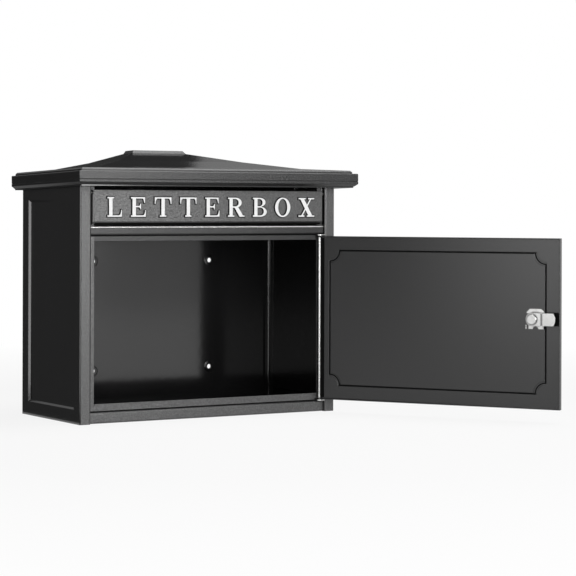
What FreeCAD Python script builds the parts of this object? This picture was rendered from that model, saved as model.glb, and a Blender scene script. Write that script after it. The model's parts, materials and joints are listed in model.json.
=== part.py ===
import FreeCAD, Part
import math
import os

# Wall mailbox with a moulded hip roof, a top-hung letter flap and a side-hinged door with a cam lock.
# Units are millimetres. The origin is the centre of the four wall holes, on the back panel's rear face.
# +X is to the right as the box is faced, +Y goes into the wall and +Z is up.
# The pieces are built forwards from the wall plane and moved to that origin at the end.
# The door and its lock are built shut and then turned to the door's open stop, the stored pose.

V = FreeCAD.Vector

# Wall holes
wall_pitch_x = 170.0
wall_pitch_z = 140.0
wall_hole_radius = 3.0
lower_hole_height = 50.0
seat_radius = 6.8
seat_taper = 1.4
seat_rise = 0.9

# Box
box_width = 360.0
box_depth = 163.5
box_height = 285.0
sheet = 1.2
bend_radius = 1.0

# Corner posts, folded from the side panels, and the stop lips behind the door
post_width = 14.6
stop_recess = 7.4
lip_width = 7.5

# Pressed field of each side panel
field_margin = 17.0
field_depth = 2.5
field_slope = 2.4

# Back panel and floor tray
back_offset = 6.5
back_flange = 10.0
back_bend_radius = 2.8
tray_flange = 10.0
top_flange = 14.0
top_flange_end_gap = 20.0

# Bottom rail and lintel, set back from the posts
rail_setback = 3.8
rail_height = 13.5
rail_lip = 9.7
lintel_height = 11.1
lintel_lip = 7.1
lintel_shelf = 12.0

# Letter flap
flap_top_gap = 4.7
flap_gap = 1.4
flap_side_gap = 2.5
flap_height = 42.0
flap_setback = 0.8
flap_bevel_height = 4.0
flap_bevel_depth = 3.6
flap_edge_bevel = 1.4
flap_rest_gap = 0.4
flap_pivot_drop = 3.2
flap_pivot_setback = 3.9
flap_ear_radius = 3.1
pivot_radius = 1.5
pivot_clearance = 0.05
pivot_inner_length = 4.0
pivot_outer_length = 2.6

# Door hinge
rod_radius = 1.75
rod_setback = 3.4
rod_inset = 5.8
hinge_clearance = 0.08
rod_to_door = 0.35
tab_thickness = 1.7
tab_gap = 0.2
tab_nose_radius = 3.9
door_end_gap = 0.5
door_open_angle = 122.0

# Door
door_sheet = 1.0
door_free_gap = 2.2
door_hinge_overlap = 1.9
door_rest_gap = 0.5
bead_free_margin = 19.9
bead_hinge_margin = 13.6
bead_end_margin = 18.2
bead_width = 2.0
bead_wall = 0.7
bead_depth = 0.9
scallop_radius = 13.5

# Cam lock
lock_edge_distance = 32.5
lock_height = 125.2
barrel_radius = 9.0
barrel_flats = 15.6
barrel_length = 11.5
barrel_clearance = 0.15
lock_flange_radius = 10.4
lock_flange_height = 2.6
lock_flange_chamfer = 0.9
core_radius = 6.0
core_clearance = 0.05
core_recess = 0.4
keyway_width = 2.2
keyway_length = 8.0
keyway_depth = 9.0
drive_square = 7.0
drive_clearance = 0.1
cam_gap = 0.3
cam_thickness = 2.2
cam_width = 15.3
cam_reach = 29.2
cam_joggle = 0.8
cam_joggle_start = 10.6
cam_joggle_run = 2.4
cam_tip_radius = 13.0
cam_screw_head_radius = 6.2
cam_screw_head_height = 2.4
cam_screw_head_chamfer = 0.7
cam_screw_radius = 2.0
cam_screw_length = 8.0
clip_width = 23.0
clip_height = 24.6
clip_thickness = 1.2
clip_groove_depth = 1.0
clip_clearance = 0.1
clip_corner = 4.0
clip_ear_height = 3.6
clip_ear_width = 5.2
clip_notch_radius = 3.4

# Rubber door buffer
buffer_length = 12.0
buffer_height = 16.0
buffer_gap = 0.3

# Roof, which falls slightly towards the wall
roof_fall_angle = 1.4
roof_back_gap = 1.3
roof_side_overhang = 16.0
roof_front_overhang = 30.7
soffit_plate_thickness = 1.5
soffit_plate_inset = 0.6
roof_wall = 1.2
eave_chamfer = 4.0
eave_chamfer_height = 3.2
eave_groove_height = 6.4
eave_groove_depth = 0.5
fascia_height = 16.3
roof_edge_break = 0.8
ledge_width = 5.4
step_height = 4.0
step_break = 2.0
lower_slope_rise = 3.4
lower_slope_run = 45.0
middle_slope_rise = 10.0
middle_slope_run = 55.0
upper_slope_rise = 12.6
cap_half_width = 39.0
cap_depth = 26.5
cap_height = 3.9
cap_taper = 3.2

# Roof screws
screw_radius = 2.0
screw_head_radius = 3.8
screw_head_height = 2.4
screw_end = 3.3
screw_clearance = 0.1
screw_inset = 7.0

# Places that follow from the sizes above
base_z = -(lower_hole_height + wall_pitch_z / 2)
top_z = base_z + box_height
half_width = box_width / 2
inner_half = half_width - sheet
front_y = -box_depth
opening_half = half_width - post_width
stop_y = front_y + stop_recess
rail_y = front_y + rail_setback
lip_half = opening_half - lip_width
lip_back_y = stop_y + sheet
back_rear_y = sheet - back_offset
back_flange_y = -back_offset - back_flange

flap_top = box_height - flap_top_gap
flap_bottom = flap_top - flap_height
lintel_bottom = flap_bottom - flap_gap - lintel_height
flap_front_y = front_y + flap_setback
flap_back_y = stop_y - flap_rest_gap
flap_half = opening_half - flap_side_gap
flap_pivot_y = front_y + flap_pivot_setback
flap_pivot_z = base_z + flap_top - flap_pivot_drop

rod_x = opening_half - rod_inset
rod_y = front_y + rod_setback
door_skin_y = rod_y - (rod_radius + rod_to_door + door_sheet)
door_inner_y = door_skin_y + door_sheet
door_back_y = stop_y - door_rest_gap
door_free_x = -(opening_half - door_free_gap)
door_hinge_x = rod_x + door_hinge_overlap
door_bottom = rail_height + tab_gap + tab_thickness + door_end_gap
door_top = lintel_bottom - tab_gap - tab_thickness - door_end_gap

lock_x = door_free_x + lock_edge_distance
lock_z = base_z + lock_height
barrel_end_y = door_inner_y + barrel_length
cam_y = barrel_end_y + cam_gap

eave_half = half_width + roof_side_overhang
eave_front = box_depth + roof_front_overhang
roof_base_z = top_z + soffit_plate_thickness
back_top_z = top_z - eave_front * math.tan(math.radians(roof_fall_angle))


def block(x0, x1, y0, y1, z0, z1):
    """Box between two opposite corners."""
    return Part.makeBox(x1 - x0, y1 - y0, z1 - z0, V(x0, y0, z0))


def lying_x(x0, x1, y, z, radius):
    """Cylinder along X."""
    return Part.makeCylinder(radius, x1 - x0, V(x0, y, z), V(1, 0, 0))


def lying_y(x, y0, y1, z, radius):
    """Cylinder along Y."""
    return Part.makeCylinder(radius, y1 - y0, V(x, y0, z), V(0, 1, 0))


def upright(x, y, z0, z1, radius):
    """Cylinder along Z."""
    return Part.makeCylinder(radius, z1 - z0, V(x, y, z0), V(0, 0, 1))


def flat_face(corners):
    """Flat face inside a closed outline."""
    return Part.Face(Part.makePolygon(corners + corners[:1]))


def tapered_block(lower, upper):
    """Solid with flat sides between two parallel outlines of as many corners."""
    faces = [flat_face(lower), flat_face(upper)]
    for a, b, c, d in zip(lower, lower[1:] + lower[:1], upper[1:] + upper[:1], upper):
        faces.append(flat_face([a, b, c, d]))
    solid = Part.makeSolid(Part.makeShell(faces))
    if solid.Volume < 0:
        solid.reverse()
    return solid


def level_rect(half, front, back, z):
    """Corners of a level rectangle, centred on X."""
    return [V(-half, front, z), V(half, front, z), V(half, back, z), V(-half, back, z)]


def side_rect(x, inset):
    """Corners of a rectangle in a side panel's plane, set in from the edge of its pressed field."""
    y0 = front_y + field_margin + inset
    y1 = -field_margin - inset
    z0 = base_z + field_margin + inset
    z1 = top_z - field_margin - inset
    return [V(x, y0, z0), V(x, y1, z0), V(x, y1, z1), V(x, y0, z1)]


def rounded_edges(points, radii, place):
    """Lines and tangent arcs along a path of 2-D points."""
    edges = []
    start = points[0]
    for before, corner, after, radius in zip(points, points[1:], points[2:], radii):
        inward = (corner - before).normalize()
        outward = (after - corner).normalize()
        half_turn = inward.getAngle(outward) / 2
        cut = radius * math.tan(half_turn)
        arc_start = corner - inward * cut
        arc_end = corner + outward * cut
        middle = corner + (outward - inward).normalize() * (radius / math.cos(half_turn) - radius)
        edges.append(Part.LineSegment(place(start), place(arc_start)).toShape())
        edges.append(Part.Arc(place(arc_start), place(middle), place(arc_end)).toShape())
        start = arc_end
    edges.append(Part.LineSegment(place(start), place(points[-1])).toShape())
    return edges


def folded_sheet(path, thickness, left, place, run, bend=bend_radius):
    """Sheet folded along a path of 2-D points, with the metal to the left or right of the path."""
    points = [V(a, b, 0) for a, b in path]
    side = 1 if left else -1
    steps = [(after - before).normalize() for before, after in zip(points, points[1:])]
    normals = [V(-step.y, step.x, 0) * side for step in steps]
    far = [points[0] + normals[0] * thickness]
    near_radii = []
    far_radii = []
    for corner, first, second, step, turn in zip(points[1:], normals, normals[1:], steps, steps[1:]):
        far.append(corner + (first + second) * (thickness / (1 + first.dot(second))))
        metal_inside = step.cross(turn).z * side > 0
        near_radii.append(bend + (thickness if metal_inside else 0))
        far_radii.append(bend + (0 if metal_inside else thickness))
    far.append(points[-1] + normals[-1] * thickness)
    edges = rounded_edges(points, near_radii, place) + rounded_edges(far, far_radii, place)
    edges.append(Part.LineSegment(place(points[0]), place(far[0])).toShape())
    edges.append(Part.LineSegment(place(points[-1]), place(far[-1])).toShape())
    outline = Part.Wire(Part.__sortEdges__(edges))
    return Part.Face(outline).extrude(run)


def mirrored(shape):
    """The same piece for the other side of the box."""
    return shape.mirror(V(0, 0, 0), V(1, 0, 0))


def turned_open(shape):
    """A piece of the shut door, turned to the open stop."""
    copy = shape.copy()
    copy.rotate(V(rod_x, rod_y, 0), V(0, 0, 1), door_open_angle)
    return copy


def leaned_back(shape):
    """A piece built level on the soffit, turned about the front eave so that it falls to the wall."""
    copy = shape.copy()
    copy.rotate(V(0, -eave_front, top_z), V(1, 0, 0), -roof_fall_angle)
    return copy


def screw_places():
    """Plan positions of the roof screws, at the middle of each side panel's flange."""
    x = inner_half - screw_inset
    return [(side * x, front_y / 2) for side in (-1, 1)]


def pressed_field(x):
    """Shallow frustum pressed into a side panel, from the plane at x inwards."""
    return tapered_block(side_rect(x, 0), side_rect(x - field_depth, field_slope))


# Side panel: pressed field, corner post, post return, stop lip and top flange from one sheet
def right_side():
    path = [
        (half_width, 0),
        (half_width, front_y),
        (opening_half, front_y),
        (opening_half, stop_y),
        (lip_half, stop_y),
    ]
    panel = folded_sheet(path, sheet, False, lambda p: V(p.x, p.y, base_z), V(0, 0, box_height))
    panel = panel.fuse(pressed_field(inner_half)).cut(pressed_field(half_width))
    flange_x = inner_half - top_flange
    flange_front = front_y + top_flange_end_gap
    flange = block(flange_x, inner_half, flange_front, -top_flange_end_gap, top_z - sheet, top_z)
    for x, y in screw_places():
        flange = flange.cut(upright(x, y, top_z - sheet, top_z, screw_radius + screw_clearance))
    above_soffit = block(0, eave_half, -eave_front, eave_front, top_z, top_z + box_height)
    panel = panel.cut(leaned_back(above_soffit)).fuse(leaned_back(flange))
    pivot_hole = lying_x(
        opening_half, opening_half + sheet, flap_pivot_y, flap_pivot_z, pivot_radius + pivot_clearance)
    return panel.cut(pivot_hole)


# Back panel: folded forwards along both sides, with a low tapered ring round each wall hole
def back_panel():
    z0 = base_z + sheet
    path = [
        (-inner_half, back_flange_y),
        (-inner_half, back_rear_y),
        (inner_half, back_rear_y),
        (inner_half, back_flange_y),
    ]
    panel = folded_sheet(
        path, sheet, False, lambda p: V(p.x, p.y, z0), V(0, 0, back_top_z - z0), back_bend_radius)
    for side in (-1, 1):
        for rise in (-1, 1):
            x = side * wall_pitch_x / 2
            z = rise * wall_pitch_z / 2
            ring = Part.makeCone(
                seat_radius, seat_radius - seat_taper, seat_rise, V(x, -back_offset, z), V(0, -1, 0))
            hole = lying_y(x, -back_offset - seat_rise, back_rear_y, z, wall_hole_radius)
            panel = panel.fuse(ring).cut(hole)
    return panel


# Floor tray, between the side panels and behind the stop lips
def floor_tray():
    plate = block(-inner_half, inner_half, lip_back_y, 0, base_z, base_z + sheet)
    flange_top = base_z + tray_flange
    plate = plate.fuse(block(-inner_half, inner_half, lip_back_y, lip_back_y + sheet, base_z, flange_top))
    for side in (-1, 1):
        x0, x1 = sorted((side * inner_half, side * (inner_half - sheet)))
        plate = plate.fuse(block(x0, x1, lip_back_y, back_flange_y, base_z, flange_top))
    return plate


# The lips of the rail and the lintel end at the side panels' lips
def between_lips(strip, z0, z1):
    shoulder_y = stop_y - bend_radius
    for side in (-1, 1):
        x0, x1 = sorted((side * lip_half, side * half_width))
        strip = strip.cut(block(x0, x1, shoulder_y, 0, z0, z1))
    return strip


def bottom_rail():
    path = [
        (stop_y, base_z + rail_height + rail_lip),
        (stop_y, base_z + rail_height),
        (rail_y, base_z + rail_height),
        (rail_y, base_z),
        (lip_back_y, base_z),
    ]
    strip = folded_sheet(
        path, sheet, True, lambda p: V(-opening_half, p.x, p.y), V(2 * opening_half, 0, 0))
    return between_lips(strip, base_z, base_z + rail_height + rail_lip)


def lintel():
    top = base_z + lintel_bottom + lintel_height
    path = [
        (stop_y, base_z + lintel_bottom - lintel_lip),
        (stop_y, base_z + lintel_bottom),
        (rail_y, base_z + lintel_bottom),
        (rail_y, top),
        (rail_y + lintel_shelf, top),
    ]
    strip = folded_sheet(
        path, sheet, False, lambda p: V(-opening_half, p.x, p.y), V(2 * opening_half, 0, 0))
    return between_lips(strip, base_z + lintel_bottom - lintel_lip, top)


# Letter flap: pressed pan, open at the top and back, hung on two pivot pins
def letter_flap():
    z0 = base_z + flap_bottom
    z1 = base_z + flap_top
    outline = [
        V(-flap_half, flap_back_y, z0),
        V(-flap_half, flap_front_y + flap_bevel_depth, z0),
        V(-flap_half, flap_front_y, z0 + flap_bevel_height),
        V(-flap_half, flap_front_y, z1),
        V(-flap_half, flap_back_y, z1),
    ]
    pan = flat_face(outline).extrude(V(2 * flap_half, 0, 0))
    side_edges = [
        edge for edge in pan.Edges
        if abs(edge.BoundBox.YMax - flap_front_y) < 1e-6 and edge.BoundBox.ZLength > flap_bevel_height
    ]
    pan = pan.makeChamfer(flap_edge_bevel, side_edges)
    hollow_outline = [
        V(-flap_half + sheet, flap_back_y, z0 + sheet),
        V(-flap_half + sheet, flap_front_y + flap_bevel_depth + sheet, z0 + sheet),
        V(-flap_half + sheet, flap_front_y + sheet, z0 + flap_bevel_height + sheet),
        V(-flap_half + sheet, flap_front_y + sheet, z1),
        V(-flap_half + sheet, flap_back_y, z1),
    ]
    pan = pan.cut(flat_face(hollow_outline).extrude(V(2 * (flap_half - sheet), 0, 0)))
    for side in (-1, 1):
        x0, x1 = sorted((side * flap_half, side * (flap_half - sheet)))
        pan = pan.cut(block(x0, x1, flap_pivot_y, flap_back_y, flap_pivot_z, z1))
        pan = pan.fuse(lying_x(x0, x1, flap_pivot_y, flap_pivot_z, flap_ear_radius))
        pan = pan.cut(lying_x(x0, x1, flap_pivot_y, flap_pivot_z, pivot_radius))
    return pan.removeSplitter()


def flap_pivots():
    pins = []
    for side in (-1, 1):
        x0, x1 = sorted((side * (flap_half - pivot_inner_length), side * (opening_half + pivot_outer_length)))
        pins.append(lying_x(x0, x1, flap_pivot_y, flap_pivot_z, pivot_radius))
    return Part.makeCompound(pins)


# Hinge: two tabs on the right post carry the rod
def hinge_tab(z0):
    z1 = z0 + tab_thickness
    rear_y = stop_y - bend_radius - tab_gap
    tab = block(rod_x, opening_half, rod_y - tab_nose_radius, rear_y, z0, z1)
    tab = tab.fuse(upright(rod_x, rod_y, z0, z1, tab_nose_radius))
    return tab.cut(upright(rod_x, rod_y, z0, z1, rod_radius)).removeSplitter()


def hinge_tabs():
    lower = hinge_tab(base_z + rail_height + tab_gap)
    upper = hinge_tab(base_z + lintel_bottom - tab_gap - tab_thickness)
    return Part.makeCompound([lower, upper])


def hinge_rod():
    return upright(rod_x, rod_y, base_z + rail_height + tab_gap, base_z + lintel_bottom - tab_gap, rod_radius)


# Outline with a concave quarter circle at each corner, in the plane of the shut door
def scalloped_face(grow, y):
    x0 = door_free_x + bead_free_margin - grow
    x1 = rod_x - bead_hinge_margin + grow
    z0 = base_z + door_bottom + bead_end_margin - grow
    z1 = base_z + door_top - bead_end_margin + grow
    radius = scallop_radius - grow
    diagonal = radius * math.sqrt(0.5)
    edges = []
    corners = [(x0, z0, 1, 1), (x1, z0, -1, 1), (x1, z1, -1, -1), (x0, z1, 1, -1)]
    ends = []
    for x, z, to_x, to_z in corners:
        along_x = V(x + to_x * radius, y, z)
        along_z = V(x, y, z + to_z * radius)
        middle = V(x + to_x * diagonal, y, z + to_z * diagonal)
        edges.append(Part.Arc(along_x, middle, along_z).toShape())
        ends.append((along_x, along_z))
    edges.append(Part.LineSegment(ends[0][0], ends[1][0]).toShape())
    edges.append(Part.LineSegment(ends[1][1], ends[2][1]).toShape())
    edges.append(Part.LineSegment(ends[2][0], ends[3][0]).toShape())
    edges.append(Part.LineSegment(ends[3][1], ends[0][1]).toShape())
    return Part.Face(Part.Wire(Part.__sortEdges__(edges)))


def bead_ring(outer_grow, inner_grow, y, depth):
    ring = scalloped_face(outer_grow, y).cut(scalloped_face(inner_grow, y))
    return ring.extrude(V(0, depth, 0))


def barrel_section(grow, y0, y1):
    """Lock barrel with two flats."""
    radius = barrel_radius + grow
    flat = barrel_flats / 2 + grow
    barrel = lying_y(lock_x, y0, y1, lock_z, radius)
    return barrel.common(block(lock_x - radius, lock_x + radius, y0, y1, lock_z - flat, lock_z + flat))


# Door: pressed pan with a scalloped bead, hung by the hinge ends of its top and bottom flanges
def door_panel():
    z0 = base_z + door_bottom
    z1 = base_z + door_top
    pan = block(door_free_x, door_hinge_x, door_skin_y, door_back_y, z0, z1)
    pan = pan.cut(block(
        door_free_x + door_sheet, door_hinge_x, door_inner_y, door_back_y, z0 + door_sheet, z1 - door_sheet))
    pan = pan.cut(block(rod_x, door_hinge_x, door_inner_y, door_back_y, z0, z1))
    ear_radius = rod_y - door_skin_y
    for ear_z in (z0, z1 - door_sheet):
        pan = pan.fuse(upright(rod_x, rod_y, ear_z, ear_z + door_sheet, ear_radius))
    pan = pan.cut(upright(rod_x, rod_y, z0, z1, rod_radius + hinge_clearance))
    half_bead = bead_width / 2
    half_ridge = half_bead + bead_wall
    pan = pan.fuse(bead_ring(half_ridge, -half_ridge, door_skin_y - bead_depth, bead_depth))
    pan = pan.cut(bead_ring(half_bead, -half_bead, door_inner_y - bead_depth, bead_depth))
    return pan.cut(barrel_section(barrel_clearance, door_skin_y, door_inner_y)).removeSplitter()


def door_buffer():
    x0 = door_free_x + door_sheet
    y1 = stop_y - buffer_gap
    z0 = lock_z - buffer_height / 2
    return block(x0, x0 + buffer_length, door_inner_y, y1, z0, z0 + buffer_height)


# Lock: flanged barrel held by a spring clip, with a turning core that carries the cam
def lock_barrel():
    flange_y = door_skin_y - lock_flange_height
    flange = lying_y(lock_x, flange_y, door_skin_y, lock_z, lock_flange_radius)
    rim = [edge for edge in flange.Edges if abs(edge.BoundBox.YMax - flange_y) < 1e-6]
    flange = flange.makeChamfer(lock_flange_chamfer, rim)
    barrel = flange.fuse(barrel_section(0, door_skin_y, barrel_end_y))
    x0 = lock_x - barrel_radius
    x1 = lock_x + barrel_radius
    groove_y = door_inner_y + clip_thickness + clip_clearance
    neck = barrel_flats / 2 - clip_groove_depth
    groove = block(x0, x1, door_inner_y, groove_y, lock_z - barrel_radius, lock_z + barrel_radius)
    groove = groove.cut(block(x0, x1, door_inner_y, groove_y, lock_z - neck, lock_z + neck))
    barrel = barrel.cut(groove)
    return barrel.cut(lying_y(lock_x, flange_y, barrel_end_y, lock_z, core_radius + core_clearance))


def lock_core():
    front = door_skin_y - lock_flange_height + core_recess
    core = lying_y(lock_x, front, barrel_end_y, lock_z, core_radius)
    half_drive = drive_square / 2
    core = core.fuse(block(
        lock_x - half_drive, lock_x + half_drive, barrel_end_y, cam_y + cam_thickness,
        lock_z - half_drive, lock_z + half_drive))
    core = core.cut(block(
        lock_x - keyway_width / 2, lock_x + keyway_width / 2, front, front + keyway_depth,
        lock_z - keyway_length / 2, lock_z + keyway_length / 2))
    return core.cut(lying_y(
        lock_x, cam_y + cam_thickness - cam_screw_length, cam_y + cam_thickness, lock_z, cam_screw_radius))


def lock_clip():
    y0 = door_inner_y
    y1 = y0 + clip_thickness
    half_w = clip_width / 2
    half_h = clip_height / 2
    plate = block(lock_x - half_w, lock_x + half_w, y0, y1, lock_z - half_h, lock_z + half_h)
    corner_edges = [
        edge for edge in plate.Edges
        if edge.BoundBox.YLength > clip_thickness / 2 and edge.BoundBox.ZMax > lock_z
    ]
    plate = plate.makeChamfer(clip_corner, corner_edges)
    slot_half = barrel_flats / 2 - clip_groove_depth + clip_clearance
    slot_x = lock_x - barrel_radius - clip_clearance
    plate = plate.cut(block(slot_x, lock_x + half_w, y0, y1, lock_z - slot_half, lock_z + slot_half))
    plate = plate.cut(lying_y(lock_x, y0, y1, lock_z - half_h, clip_notch_radius))
    for side in (-1, 1):
        ear_x = lock_x + side * half_w
        x0, x1 = sorted((ear_x, ear_x - side * clip_thickness))
        plate = plate.fuse(block(
            x0, x1, y0, y1 + clip_ear_height, lock_z - half_h, lock_z - half_h + clip_ear_width))
    return plate.removeSplitter()


def lock_cam():
    half_w = cam_width / 2
    tip_x = lock_x - cam_reach
    step_x = lock_x - cam_joggle_start
    low_x = step_x - cam_joggle_run
    y1 = cam_y + cam_thickness
    outline = [
        V(lock_x + half_w, cam_y, 0),
        V(step_x, cam_y, 0),
        V(low_x, cam_y - cam_joggle, 0),
        V(tip_x, cam_y - cam_joggle, 0),
        V(tip_x, y1 - cam_joggle, 0),
        V(low_x, y1 - cam_joggle, 0),
        V(step_x, y1, 0),
        V(lock_x + half_w, y1, 0),
    ]
    cam = flat_face(outline).extrude(V(0, 0, cam_width))
    cam.translate(V(0, 0, lock_z - half_w))
    y0 = cam_y - cam_joggle
    root_end = lying_y(lock_x, y0, y1, lock_z, half_w)
    shank = block(tip_x, lock_x, y0, y1, lock_z - half_w, lock_z + half_w)
    tip = lying_y(tip_x + cam_tip_radius, y0, y1, lock_z, cam_tip_radius)
    tip = tip.fuse(block(tip_x + cam_tip_radius, lock_x + half_w, y0, y1, lock_z - half_w, lock_z + half_w))
    cam = cam.common(root_end.fuse(shank)).common(tip)
    half_drive = drive_square / 2 + drive_clearance
    return cam.cut(block(
        lock_x - half_drive, lock_x + half_drive, cam_y, y1, lock_z - half_drive, lock_z + half_drive))


def cam_screw():
    seat = cam_y + cam_thickness
    top = seat + cam_screw_head_height
    head = lying_y(lock_x, seat, top, lock_z, cam_screw_head_radius)
    rim = [edge for edge in head.Edges if abs(edge.BoundBox.YMin - top) < 1e-6]
    head = head.makeChamfer(cam_screw_head_chamfer, rim)
    return head.fuse(lying_y(lock_x, seat - cam_screw_length, seat, lock_z, cam_screw_radius))


# Roof: the eave moulding is a stack of level courses, then three pitches and a cap block
def course(z0, half0, front0, z1, half1, front1, back):
    return tapered_block(level_rect(half0, -front0, back, z0), level_rect(half1, -front1, back, z1))


def roof_stack(skin):
    """Outer form of the roof, or with a skin thickness the hollow inside it."""
    half = eave_half - skin
    front = eave_front - skin
    back = -roof_back_gap - skin
    z_fascia = roof_base_z + fascia_height - skin
    z_chamfer = roof_base_z + eave_chamfer_height
    z_break = z_fascia - roof_edge_break
    z_step = roof_base_z + fascia_height + step_height - skin
    z_step_break = z_step - step_break
    z_lower = z_step + lower_slope_rise
    z_middle = z_lower + middle_slope_rise
    z_cap = z_middle + upper_slope_rise
    step_half = half - ledge_width
    step_front = front - ledge_width
    slope_half = step_half - step_break
    slope_front = step_front - step_break
    lower_half = slope_half - lower_slope_run
    lower_front = slope_front - lower_slope_run
    middle_half = lower_half - middle_slope_run
    middle_front = lower_front - middle_slope_run
    cap_half = cap_half_width - skin
    cap_front = cap_depth - skin
    courses = [
        course(roof_base_z, half - eave_chamfer, front - eave_chamfer, z_chamfer, half, front, back),
        course(z_chamfer, half, front, z_break, half, front, back),
        course(z_break, half, front, z_fascia, half - roof_edge_break, front - roof_edge_break, back),
        course(z_fascia, step_half, step_front, z_step_break, step_half, step_front, back),
        course(z_step_break, step_half, step_front, z_step, slope_half, slope_front, back),
        course(z_step, slope_half, slope_front, z_lower, lower_half, lower_front, back),
        course(z_lower, lower_half, lower_front, z_middle, middle_half, middle_front, back),
        course(z_middle, middle_half, middle_front, z_cap, cap_half, cap_front, back),
    ]
    stack = courses[0]
    for layer in courses[1:]:
        stack = stack.fuse(layer)
    return stack


def roof_cap_block():
    z0 = roof_base_z + fascia_height + step_height
    z0 += lower_slope_rise + middle_slope_rise + upper_slope_rise
    top_half = cap_half_width - cap_taper
    top_depth = cap_depth - cap_taper
    return course(z0, cap_half_width, cap_depth, z0 + cap_height, top_half, top_depth, -roof_back_gap)


def eave_groove():
    """Fine V groove along the three sides of the fascia."""
    z = roof_base_z + eave_groove_height
    deep_half = eave_half - eave_groove_depth
    deep_front = eave_front - eave_groove_depth
    z_low = z - eave_groove_depth
    z_high = z + eave_groove_depth
    back = -roof_back_gap
    band = block(-eave_half, eave_half, -eave_front, back, z_low, z_high)
    core = course(z_low, eave_half, eave_front, z, deep_half, deep_front, back)
    core = core.fuse(course(z, deep_half, deep_front, z_high, eave_half, eave_front, back))
    return band.cut(core)


def roof_shell():
    shell = roof_stack(0).fuse(roof_cap_block()).cut(roof_stack(roof_wall))
    return leaned_back(shell.cut(eave_groove()).removeSplitter())


def soffit_plate():
    half = eave_half - eave_chamfer - soffit_plate_inset
    front = eave_front - eave_chamfer - soffit_plate_inset
    plate = block(-half, half, -front, -roof_back_gap, top_z, roof_base_z)
    for x, y in screw_places():
        plate = plate.cut(upright(x, y, top_z, roof_base_z, screw_radius))
    return leaned_back(plate)


def roof_screws():
    screws = []
    seat = top_z - sheet
    for x, y in screw_places():
        head = upright(x, y, seat - screw_head_height, seat, screw_head_radius)
        screws.append(head.fuse(upright(x, y, seat, roof_base_z + screw_end, screw_radius)))
    return leaned_back(Part.makeCompound(screws))


fixed_pieces = {
    "right_side": right_side(),
    "back_panel": back_panel(),
    "floor_tray": floor_tray(),
    "bottom_rail": bottom_rail(),
    "lintel": lintel(),
    "letter_flap": letter_flap(),
    "flap_pivots": flap_pivots(),
    "hinge_tabs": hinge_tabs(),
    "hinge_rod": hinge_rod(),
    "roof_shell": roof_shell(),
    "soffit_plate": soffit_plate(),
    "roof_screws": roof_screws(),
}
fixed_pieces["left_side"] = mirrored(fixed_pieces["right_side"])

door_pieces = {
    "door_panel": door_panel(),
    "door_buffer": door_buffer(),
    "lock_barrel": lock_barrel(),
    "lock_core": lock_core(),
    "lock_clip": lock_clip(),
    "lock_cam": lock_cam(),
    "cam_screw": cam_screw(),
}

stored_pieces = dict(fixed_pieces)
for name, shape in door_pieces.items():
    stored_pieces[name] = turned_open(shape)

os.makedirs("parts", exist_ok=True)
for name, shape in stored_pieces.items():
    shape.translated(V(0, -back_rear_y, 0)).exportStep("parts/" + name + ".step")
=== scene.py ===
# %% [markdown]
# # A wall mailbox with its door open
# The box is folded from sheet steel and powder coated in black. Its shape comes from a packed
# CAD model, which is loaded as a fixed frame in metres: the script dresses that frame, and never
# moves it. The box of the whole model is kept straight away.

# %% Load the frame
import json
import math

import bpy
from mathutils import Matrix, Vector


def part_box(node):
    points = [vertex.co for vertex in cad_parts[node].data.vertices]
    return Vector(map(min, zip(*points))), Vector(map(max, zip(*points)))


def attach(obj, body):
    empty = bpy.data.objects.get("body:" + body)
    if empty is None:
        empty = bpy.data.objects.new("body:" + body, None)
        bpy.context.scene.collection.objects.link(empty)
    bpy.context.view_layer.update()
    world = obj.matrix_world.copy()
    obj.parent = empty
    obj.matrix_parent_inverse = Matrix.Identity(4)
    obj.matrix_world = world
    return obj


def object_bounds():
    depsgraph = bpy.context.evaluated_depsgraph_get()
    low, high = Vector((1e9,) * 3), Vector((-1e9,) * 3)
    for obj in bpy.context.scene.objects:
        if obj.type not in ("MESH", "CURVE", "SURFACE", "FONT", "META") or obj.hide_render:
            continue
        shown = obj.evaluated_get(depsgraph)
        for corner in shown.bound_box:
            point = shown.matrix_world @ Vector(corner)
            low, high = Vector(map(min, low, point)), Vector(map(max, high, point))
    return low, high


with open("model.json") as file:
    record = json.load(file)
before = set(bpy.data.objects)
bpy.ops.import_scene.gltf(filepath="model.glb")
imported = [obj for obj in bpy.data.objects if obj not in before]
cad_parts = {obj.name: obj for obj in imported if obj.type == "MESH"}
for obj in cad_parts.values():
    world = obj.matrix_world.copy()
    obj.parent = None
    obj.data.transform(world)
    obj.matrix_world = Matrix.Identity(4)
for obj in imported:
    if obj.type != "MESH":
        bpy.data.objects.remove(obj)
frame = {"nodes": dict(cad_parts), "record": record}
cad_low, cad_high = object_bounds()
nodes = frame["nodes"]
print("loaded", len(nodes), "nodes from", tuple(cad_low), "to", tuple(cad_high))

# %% [markdown]
# ## The camera
# The photograph keeps all the upright edges parallel, so its camera was held level. A level camera
# with a long lens, shifted down to frame the box, gives the same perspective. Tilting the camera
# down instead would make the upright edges lean together.

# %% Camera
CAMERA_PLACE = Vector((-1.2890, -2.4231, 0.1418))
CAMERA_TURN = math.radians(31.704)
CAMERA_ROLL = math.radians(0.172)
CAMERA_LENS = 131.9
CAMERA_SENSOR = 36.0
CAMERA_SHIFT = -0.1427

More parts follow.
